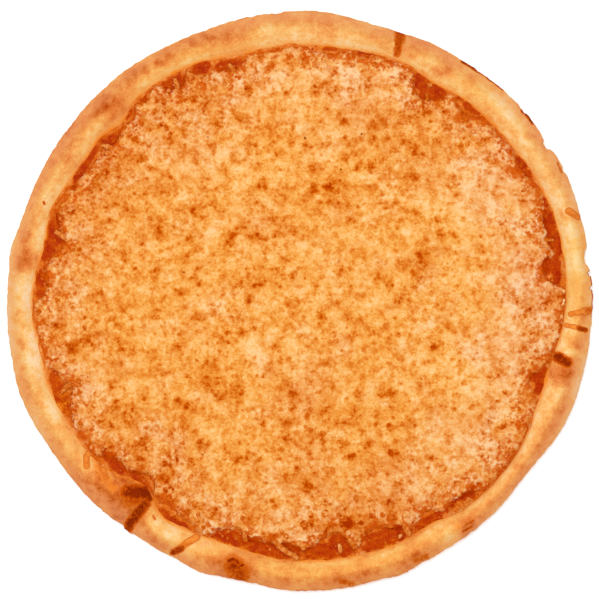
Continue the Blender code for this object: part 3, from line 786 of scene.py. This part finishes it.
def disc_grid(squares):
    """A square grid made a disc: each corner's share of the radius, and its angle, in rows of the grid."""
    line = np.linspace(-1.0, 1.0, squares + 1)
    u, v = np.meshgrid(line, line)
    share = np.maximum(np.abs(u), np.abs(v))
    safe = np.where(share > 0.0, share, 1.0)
    wide = np.abs(u) >= np.abs(v)
    beside = 45.0 * v / np.where(wide, np.where(u == 0.0, safe, u), 1.0) + np.where(u < 0.0, 180.0, 0.0)
    above = 90.0 - 45.0 * u / np.where(v == 0.0, safe, v) + np.where(v < 0.0, 180.0, 0.0)
    return share, np.where(wide, beside, above) % 360.0


def blurred(grid, times):
    """The grid's values, averaged with their neighbours so many times."""
    for _ in range(times):
        padded = np.pad(grid, 1, mode="edge")
        beside = padded[:-2, 1:-1] + padded[2:, 1:-1] + padded[1:-1, :-2] + padded[1:-1, 2:]
        grid = (beside + 2.0 * grid) / 6.0
    return grid


def cell_depth(points, size, shift):
    """How deep each point lies in a cell of a foam: 0 on its walls, 1 at its middle."""
    depths = []
    for row in (points / size + shift).tolist():
        near = noise.voronoi(row)[0]
        depths.append(near[1] - near[0])
    return between(np.array(depths) * 1.4)


def spots_on(points, spots):
    """How strongly round spots, each x, y, radius and strength in metres, cover each point."""
    total = np.zeros(len(points))
    for x, y, radius, strength in spots:
        near = np.abs(points[:, 0] - x) + np.abs(points[:, 1] - y) < 3.2 * radius
        away = np.hypot(points[near, 0] - x, points[near, 1] - y) / radius
        total[near] = np.maximum(total[near], strength * np.exp(HALVING * away**2.2))
    return total


def draw_spots():
    """Browned spots strewn by a seeded draw, fewer where the cheese is paler."""
    draw = random.Random(SPOT_SEED)
    made = []
    while len(made) < SPOT_COUNT:
        radius = SPOTS_REACH * math.sqrt(draw.random())
        turn = draw.uniform(0.0, math.tau)
        x, y = radius * math.cos(turn), radius * math.sin(turn)
        size, strength = draw.uniform(*SPOT_SIZES), draw.uniform(*SPOT_STRENGTHS)
        paler = float(places_on(np.array(((x, y, 0.0),)), CHEESE_SHADES)[0])
        if noise.noise((x * 28.0, y * 28.0, 4.0)) - 0.7 * paler > draw.uniform(-0.9, 0.5):
            made.append((x, y, size, strength))
    return made


def places_on(points, places):
    """The sum of broad soft places, by pixels of the picture: x, y, radius, how much."""
    total = np.zeros(len(points))
    for x, y, radius, amount in places:
        place = on_plan(x, y)
        away = np.hypot(points[:, 0] - place[0], points[:, 1] - place[1]) / (radius * METRES_A_PIXEL)
        total += amount * np.exp(HALVING * away**2)
    return total


share_grid, angle_grid = disc_grid(CHEESE_SQUARES)
shares, angles = share_grid.ravel(), angle_grid.ravel()
shares = (1.0 - EDGE_CROWDING) * shares + EDGE_CROWDING * np.sin(shares * math.pi / 2)
rim_points = ring_points(angles, 0.15)
ragged = 0.0022 * noise_on(rim_points, 0.0095, 1.0) + 0.0014 * noise_on(rim_points, 0.0038, 5.0, 2) - 0.0002
room = sauce_outline(angles) + 0.0007 - cheese_outline(angles) - ragged
filled = np.minimum(room, (1.0 - bare_at(angles)) * np.maximum(room, 0.0))
edge_radii = cheese_outline(angles) + ragged + filled
cheese_radii = shares * cheese_outline(angles) + shares**8 * (edge_radii - cheese_outline(angles))
plan = ring_points(angles, cheese_radii)
inside = (edge_radii - radii_of(plan)).clip(0.0, None)
inner_places = (plan[:, :2] * 0.992).tolist()
tops = np.array([top_of(cheese_tree, x, y, cheese_low.z + 0.0010) for x, y in inner_places])
tops = blurred(tops.reshape(share_grid.shape), 30).ravel()
foam_share = 0.04 + 1.1 * noise_on(plan, 0.03, 3.0, 2) + between(1.1 - inside / FOAMY_WIDTH)
foam_share = between(foam_share)
foam = cell_depth(plan, FOAM_CELL, 2.0)
lumps = noise_on(plan, 0.0075, 6.0, 3)
named_spots = []
for x, y, radius, strength in CHEESE_SPOTS:
    place = on_plan(x, y)
    named_spots.append((place[0], place[1], radius * METRES_A_PIXEL, strength))
spots = spots_on(plan, named_spots + draw_spots())
pockets = pockets_on(plan)
heights = tops + 0.00030 * lumps + 0.00025 * spots - 0.00045 * foam * foam_share - 0.0007 * pockets
taper = EDGE_TAPER * (1.0 + 0.6 * noise_on(plan, 0.007, 11.0))
edge_drop = between(1.0 - inside / taper) ** 1.2
heights -= edge_drop * (heights - cheese_low.z + EDGE_SINK)
plan[:, 2] = np.clip(heights, cheese_low.z - EDGE_SINK, cheese_high.z)

across_grid = CHEESE_SQUARES + 1
quads = []
for row in range(CHEESE_SQUARES):
    for column in range(CHEESE_SQUARES):
        corner = row * across_grid + column
        quads.append((corner, corner + 1, corner + across_grid + 1, corner + across_grid))
cheese_mesh = bpy.data.meshes.new("melted_cheese")
cheese_mesh.from_pydata(plan.tolist(), [], quads)
store(cheese_mesh, "spots", spots)
store(cheese_mesh, "foam", foam)
store(cheese_mesh, "foamy", foam_share)
store(cheese_mesh, "thin", between(1.0 - inside / THIN_WIDTH))
store(cheese_mesh, "pocket", pockets)
store(cheese_mesh, "shade", places_on(plan, CHEESE_SHADES))
store(cheese_mesh, "pinkness", places_on(plan, CHEESE_PINKS))
store(cheese_mesh, "outer", between(1.2 - inside / OUTER_WIDTH))
store(cheese_mesh, "verge", edge_drop)
bm = bmesh.new()
bm.from_mesh(cheese_mesh)
border = [edge for edge in bm.edges if edge.is_boundary]
for edge in border:
    edge.smooth = False
skirt = bmesh.ops.extrude_edge_only(bm, edges=border)["geom"]
for item in skirt:
    if isinstance(item, bmesh.types.BMVert):
        item.co = (item.co.x * 0.995, item.co.y * 0.995, cheese_low.z - SKIRT_SINK)
lower_border = [item for item in skirt if isinstance(item, bmesh.types.BMEdge) and item.is_boundary]
bmesh.ops.edgeloop_fill(bm, edges=lower_border)
bmesh.ops.triangulate(bm, faces=[face for face in bm.faces if len(face.verts) > 4])
bmesh.ops.recalc_face_normals(bm, faces=bm.faces)
bm.to_mesh(cheese_mesh)
bm.free()

cheese_finish, tree, shader = new_material("melted_cheese", 0.0)
melt = noise_of(tree, 0.014, 4.0, 1.0, 0.0, 0.85)
blots = ramp(tree, noise_of(tree, 0.0054, 2.0, 5.0, 0.15, 0.5), 0.48, 0.68)
small_blots = ramp(tree, noise_of(tree, 0.0026, 2.0, 15.0, 0.2, 0.6), 0.50, 0.68)
wide_discs = ramp(tree, discs_of(tree, 0.0096, -0.25, 0.62, 3.3), 0.0, 0.26)
small_discs = ramp(tree, discs_of(tree, 0.0050, -0.35, 0.62, 7.7), 0.0, 0.22)
ring_depth = discs_of(tree, 0.0066, -0.20, 0.60, 12.1, 0.15)
rings = calc(tree, "SUBTRACT", ramp(tree, ring_depth, 0.0, 0.08), ramp(tree, ring_depth, 0.10, 0.24))
# Pale blots: partly paler cheese, partly painted highlights that take the place of glints.
pale_blots_and_painted_glints = ramp(tree, noise_of(tree, 0.0038, 3.0, 25.0, 0.3, 0.6), 0.54, 0.72)
fine = noise_of(tree, 0.0014, 2.0, 8.0)
foam_patches = ramp(tree, noise_of(tree, 0.010, 2.0, 4.0), 0.36, 0.62)
foamy = calc(tree, "MULTIPLY", attribute(tree, "foamy"), foam_patches)
bubbles = cells_of(tree, 0.0031, shift=2.3, warp=0.45).outputs["Distance"]
froth = cells_of(tree, 0.0017, shift=6.1, warp=0.45).outputs["Distance"]
dots = ramp(tree, cells_of(tree, 0.0044, shift=1.7, warp=0.5).outputs["Distance"], 0.30, 0.06)
dark_dots = calc(tree, "MULTIPLY", dots, ramp(tree, fine, 0.44, 0.60))
herbs = ramp(tree, cells_of(tree, 0.0185, shift=4.1, warp=0.3).outputs["Distance"], 0.050, 0.026)
foam_tone = calc(tree, "MULTIPLY", foamy, total(tree, (bubbles, 0.75), (froth, 0.30), (1.0, -0.42)))
tone = total(
    tree,
    (melt, 2.0),
    (blots, -0.26),
    (small_blots, -0.16),
    (wide_discs, -0.20),
    (small_discs, -0.24),
    (calc(tree, "MULTIPLY", rings, attribute(tree, "foamy")), -0.24),
    (pale_blots_and_painted_glints, 0.14),
    (fine, 0.40),
    ("shade", 0.12),
    ("outer", 0.03),
    ("verge", -0.30),
    ("spots", -0.30),
    ("thin", -0.16),
    (dark_dots, -0.26),
    (calc(tree, "MULTIPLY", dark_dots, attribute(tree, "outer")), -0.22),
    (foam_tone, 0.98),
    (1.0, -0.505),
)
tone = total(tree, (tone, 0.8), (1.0, 0.2))
colour = shades(
    tree,
    tone,
    (0.00, 176, 60, 2), (0.20, 200, 83, 14), (0.30, 212, 102, 28), (0.42, 226, 126, 48),
    (0.56, 237, 147, 62), (0.68, 244, 166, 80), (0.80, 249, 182, 101), (0.92, 251, 195, 122),
    (1.00, 251, 205, 142),
)
pinker = shades(
    tree,
    tone,
    (0.00, 168, 58, 4), (0.20, 190, 78, 14), (0.42, 220, 122, 54), (0.68, 238, 161, 102),
    (1.00, 250, 204, 156),
)
pink_patches = ramp(tree, noise_of(tree, 0.013, 3.0, 12.0), 0.50, 0.75)
pink_share = total(
    tree, (foamy, 0.45), (pink_patches, 0.25), ("pinkness", 0.55), ("outer", 0.28)
)
colour = blend(tree, pink_share, colour, pinker)
colour = blend(tree, herbs, colour, paint(150, 66, 16))
gaps = noise_of(tree, 0.0064, 3.0, 9.0, 0.5, 0.7)
thin_share = total(tree, ("thin", 0.9), (gaps, 3.4), (foam_tone, -1.2), (1.0, -1.72))
seeping = shades(tree, total(tree, (fine, 1.8), (1.0, -0.4)), (0.0, 196, 66, 6), (1.0, 230, 118, 40))
colour = blend(tree, ramp(tree, thin_share, 0.45, 1.0), colour, seeping)
bare_share = total(tree, ("pocket", 1.0), (fine, 1.2), (foam_tone, -0.5), (1.0, -0.6))
bare_colour = shades(tree, gaps, (0.35, 170, 52, 0), (0.65, 204, 84, 16))
colour = blend(tree, ramp(tree, bare_share, 0.30, 0.75), colour, bare_colour)
relief = total(tree, (melt, 0.7), (fine, 0.22), (foam_tone, 0.5), ("spots", -0.05))
dress(tree, shader, colour, ramp(tree, fine, -0.3, 1.6), relief, 0.0016, 0.7)
add_piece("melted_cheese", cheese_mesh, cheese_finish, "cheese", "cheese")

# Shreds
# Single shreds of the grated cheese that slid over the edge of the melted layer on to the sauce, and kept
# their form there. They are fused to the layer.
SHREDS = (
    (358.9, 0.0056, 0.001, 0.0014), (1.2, 0.0066, -0.004, 0.0013), (3.4, 0.008, -0.0046, 0.0013),
    (355.6, 0.0034, 0.0026, 0.0013), (264, 0.0088, 0.015, 0.0014), (281.6, 0.005, 0.0024, 0.0014),
    (295.2, 0.0086, -0.001, 0.0016), (256.5, 0.0026, 0.002, 0.0012), (200, 0.004, 0.0024, 0.0012),
    (165, 0.0036, -0.0022, 0.0012), (141, 0.0034, 0.0024, 0.0011), (120, 0.003, -0.0018, 0.0011),
    (106, 0.0034, 0.002, 0.0011), (57.5, 0.0018, 0.0024, 0.0009), (14, 0.0016, -0.002, 0.0008),
)
SHRED_ROOT = 0.0040
SHRED_POINTS = 14
SHRED_TAPER = 0.25
SHRED_REST = 0.0001
SHRED_FLATNESS = 0.55
PALEST_SHREDS_AT = 359.0
FOOT_CLEARANCE = 0.0003


def new_nodes(name, **sizes):
    """An empty Geometry Nodes tree with a geometry input and output, and a named input for each size."""
    made = bpy.data.node_groups.new(name, "GeometryNodeTree")
    made.interface.new_socket("Geometry", in_out="INPUT", socket_type="NodeSocketGeometry")
    for label, value in sizes.items():
        kind = "NodeSocketInt" if isinstance(value, int) else "NodeSocketFloat"
        made.interface.new_socket(label, in_out="INPUT", socket_type=kind)
    made.interface.new_socket("Geometry", in_out="OUTPUT", socket_type="NodeSocketGeometry")
    given, result = made.nodes.new("NodeGroupInput"), made.nodes.new("NodeGroupOutput")
    return made, given.outputs, result.inputs["Geometry"]


def grown(name, data, nodes, **sizes):
    """The plain mesh that a Geometry Nodes tree makes of this curve or mesh with these sizes."""
    items = [item for item in nodes.interface.items_tree if item.in_out == "INPUT" and item.name in sizes]
    inputs = [(item.identifier, sizes[item.name]) for item in items]
    return modified(name, data, "NODES", {"node_group": nodes}, inputs)


def lumpy(tree, geometry, lump_height, lump_size, seed):
    """Moves the points along their normals by noise of this height and size."""
    inputs = {"W": seed, "Detail": 2.0, "Scale": calc(tree, "DIVIDE", 1.0, lump_size)}
    grain = add_node(tree, "ShaderNodeTexNoise", inputs, noise_dimensions="4D").outputs["Fac"]
    height = calc(tree, "MULTIPLY", calc(tree, "SUBTRACT", grain, 0.5), lump_height)
    offset = vector_calc(tree, "SCALE", add_node(tree, "GeometryNodeInputNormal").outputs[0], height)
    return add_node(tree, "GeometryNodeSetPosition", {"Geometry": geometry, "Offset": offset}).outputs[0]


def end_nodes(tree, geometry, material, result):
    """Gives the geometry its material and makes it the tree's result."""
    finished = add_node(tree, "GeometryNodeSetMaterial", {"Geometry": geometry, "Material": material})
    tree.links.new(finished.outputs[0], result)


shred_nodes, given, result = new_nodes("shreds", Sides=10, Fatness=1.0, Lump_Height=0.001, Lump_Size=0.002)
round_inputs = {"Resolution": given["Sides"], "Radius": given["Fatness"]}
ring = add_node(shred_nodes, "GeometryNodeCurvePrimitiveCircle", round_inputs).outputs["Curve"]
thickness = add_node(shred_nodes, "GeometryNodeInputRadius").outputs[0]
tube_inputs = {"Curve": given["Geometry"], "Profile Curve": ring, "Scale": thickness, "Fill Caps": True}
tubes = add_node(shred_nodes, "GeometryNodeCurveToMesh", tube_inputs).outputs["Mesh"]
uneven_tubes = lumpy(shred_nodes, tubes, given["Lump_Height"], given["Lump_Size"], 3.0)
real_tubes = add_node(shred_nodes, "GeometryNodeRealizeInstances", {"Geometry": uneven_tubes}).outputs[0]
end_nodes(shred_nodes, real_tubes, cheese_finish, result)

shred_lines = bpy.data.curves.new("shred_lines", "CURVE")
shred_lines.dimensions = "3D"
for angle, reach, lean, half_thickness in SHREDS:
    edge = float(cheese_outline(angle))
    reach = min(reach, float(sauce_outline(angle)) - FOOT_CLEARANCE - edge)
    heading = np.array((math.cos(math.radians(angle)), math.sin(math.radians(angle))))
    sideways = np.array((-heading[1], heading[0]))
    line = shred_lines.splines.new("POLY")
    line.points.add(SHRED_POINTS - 1)
    for index, point in enumerate(line.points):
        share = index / (SHRED_POINTS - 1)
        plan_place = heading * (edge - SHRED_ROOT + share * (reach + SHRED_ROOT))
        plan_place = plan_place + sideways * (lean * share**1.4 + 0.0002 * math.sin(share * 9.0))
        level = cheese_low.z + SHRED_REST + 0.4 * half_thickness + 0.0010 * (1.0 - share)
        point.co = (*plan_place, level, 1.0)
        point.radius = half_thickness * (1.0 - SHRED_TAPER * share**2)
shred_mesh = grown(
    "cheese_shreds", shred_lines, shred_nodes, Sides=10, Fatness=1.35, Lump_Height=0.0010, Lump_Size=0.0026
)

shred_finish, tree, shader = new_material("melted_shreds", 0.0)
melt = noise_of(tree, 0.0030, 3.0, 1.0, 0.0, 0.7)
colour = shades(
    tree,
    total(tree, (melt, 2.2), ("pale", 0.50), (1.0, -0.95)),
    (0.00, 206, 98, 32), (0.35, 230, 138, 66), (0.70, 248, 180, 108), (1.00, 255, 214, 154),
)
dress(tree, shader, colour, ramp(tree, melt, -0.2, 1.5), melt, 0.0006, 0.5)
shred_points = points_of(shred_mesh)
shred_points[:, 2] = cheese_low.z + SHRED_FLATNESS * (shred_points[:, 2] - cheese_low.z)
move_to(shred_mesh, shred_points)
from_palest = np.abs(turned_from(angles_of(shred_points), PALEST_SHREDS_AT))
store(shred_mesh, "pale", np.clip(1.5 - from_palest / 8.0, 0.15, 1.0))
add_piece("cheese_shreds", shred_mesh, shred_finish, "cheese")

for scrap in ("cheese_scrap_1", "cheese_scrap_2", "cheese_scrap_3"):
    scrap_mesh = smooth_copy(scrap, "melted_" + scrap, 2)
    scrap_points = points_of(scrap_mesh)
    scrap_points[:, :2] += 0.0004 * noise_on(scrap_points, 0.0022, 5.0, 2)[:, None]
    move_to(scrap_mesh, scrap_points)
    store(scrap_mesh, "pale", np.full(len(scrap_points), 0.45))
    add_piece("melted_" + scrap, scrap_mesh, shred_finish, "cheese", scrap)

# Crumbs
# Small browned bits of cheese and froth that came off its edge and stuck to the sauce, and the round froth
# that stands on the cheese's own edge.
CRUMB_SEED = 5
FROTH_WIDTH = 0.016
FROTH_INSET = 0.0024

crumb_nodes, given, result = new_nodes(
    "crumbs",
    Density=1.0,
    Smallest=0.001,
    Largest=0.002,
    Flatness=0.5,
    Lump_Height=0.001,
    Lump_Size=0.001,
    Darkest=0.0,
    Palest=1.0,
    Seed=1,
)
def random_value(tree, low, high, seed, kind="FLOAT"):
    made = add_node(tree, "FunctionNodeRandomValue", data_type=kind)
    first = 0 if kind == "FLOAT_VECTOR" else 2
    for index, value in ((first, low), (first + 1, high)):
        if isinstance(value, bpy.types.NodeSocket):
            tree.links.new(value, made.inputs[index])
        else:
            made.inputs[index].default_value = value
    made.inputs["Seed"].default_value = seed
    return made.outputs[0 if kind == "FLOAT_VECTOR" else 1]


where = add_node(crumb_nodes, "GeometryNodeInputNamedAttribute", {"Name": "crumbly"}, data_type="FLOAT")
density = calc(crumb_nodes, "MULTIPLY", where.outputs[0], given["Density"])
strewn_inputs = {"Mesh": given["Geometry"], "Density": density, "Seed": given["Seed"]}
strewn = add_node(crumb_nodes, "GeometryNodeDistributePointsOnFaces", strewn_inputs)
bit = add_node(crumb_nodes, "GeometryNodeMeshUVSphere", {"Radius": 1.0, "Segments": 8, "Rings": 5})
size = random_value(crumb_nodes, given["Smallest"], given["Largest"], 21)
stretch = random_value(crumb_nodes, (0.7, 0.7, 0.8), (1.4, 1.4, 1.2), 22, "FLOAT_VECTOR")
squash = add_node(crumb_nodes, "ShaderNodeCombineXYZ", {0: 1.0, 1: 1.0, 2: given["Flatness"]}).outputs[0]
scaled = vector_calc(crumb_nodes, "SCALE", vector_calc(crumb_nodes, "MULTIPLY", stretch, squash), size)
spin = random_value(crumb_nodes, (0.0, 0.0, 0.0), (0.0, 0.0, math.tau), 23, "FLOAT_VECTOR")
bit_inputs = {"Points": strewn.outputs[0], "Instance": bit.outputs[0], "Rotation": spin, "Scale": scaled}
placed = add_node(crumb_nodes, "GeometryNodeInstanceOnPoints", bit_inputs).outputs[0]
tint = random_value(crumb_nodes, given["Darkest"], given["Palest"], 24)
tint_inputs = {"Geometry": placed, "Name": "tint", "Value": tint}
tinted = add_node(
    crumb_nodes, "GeometryNodeStoreNamedAttribute", tint_inputs, data_type="FLOAT", domain="INSTANCE"
).outputs[0]
real_bits = add_node(crumb_nodes, "GeometryNodeRealizeInstances", {"Geometry": tinted}).outputs[0]
uneven_bits = lumpy(crumb_nodes, real_bits, given["Lump_Height"], given["Lump_Size"], 8.0)
smooth_bits = add_node(crumb_nodes, "GeometryNodeSetShadeSmooth", {"Geometry": uneven_bits}).outputs[0]

crumb_finish, tree, shader = new_material("browned_crumbs", 0.0)
end_nodes(crumb_nodes, smooth_bits, crumb_finish, result)
grain = noise_of(tree, 0.0012, 2.0, 3.0)
colour = shades(
    tree,
    total(tree, ("tint", 0.8), (grain, 0.9), (1.0, -0.35)),
    (0.00, 182, 62, 8), (0.25, 212, 98, 28), (0.50, 230, 132, 62), (0.75, 244, 168, 102),
    (1.00, 255, 210, 158),
)
dress(tree, shader, colour, ramp(tree, grain, -0.2, 1.4), grain, 0.0004, 0.5)


def strewn_on(surface, weights, name, **sizes):
    """Crumbs strewn on a copy of the surface, thickest where the weights are high."""
    bed = surface.copy()
    store(bed, "crumbly", weights)
    made = grown(name, bed, crumb_nodes, **sizes)
    bpy.data.meshes.remove(bed)
    add_piece(name, made, crumb_finish, "cheese")


sauce_inside = sauce_outline(sauce_angles) - radii_of(sauce_points)
past_cheese = radii_of(sauce_points) - cheese_outline(sauce_angles)
clusters = between(0.35 + 1.3 * noise_on(sauce_points, 0.011, 2.0, 2))
on_band = between((past_cheese + 0.0015) / 0.001) * between((sauce_inside - 0.0004) / 0.0010)
on_top = (points_of(sauce_mesh, "normal")[:, 2] > 0.5).astype(float)
strewn_on(
    sauce_mesh,
    clusters * on_band * on_top,
    "sauce_crumbs",
    Density=120000.0,
    Smallest=0.0003,
    Largest=0.0009,
    Flatness=0.35,
    Lump_Height=0.0011,
    Lump_Size=0.0012,
    Darkest=-0.1,
    Palest=0.5,
    Seed=CRUMB_SEED,
)
cheese_points_now = points_of(cheese_mesh)
edge_share = np.zeros(len(cheese_points_now))
edge_share[: len(inside)] = between(1.0 - inside / FROTH_WIDTH) * (inside > FROTH_INSET)
froth_places = edge_share * between(0.15 + 1.5 * noise_on(cheese_points_now, 0.012, 7.0, 2))
strewn_on(
    cheese_mesh,
    froth_places,
    "edge_froth",
    Density=150000.0,
    Smallest=0.0005,
    Largest=0.0017,
    Flatness=0.3,
    Lump_Height=0.0014,
    Lump_Size=0.0015,
    Darkest=0.15,
    Palest=0.75,
    Seed=CRUMB_SEED + 1,
)
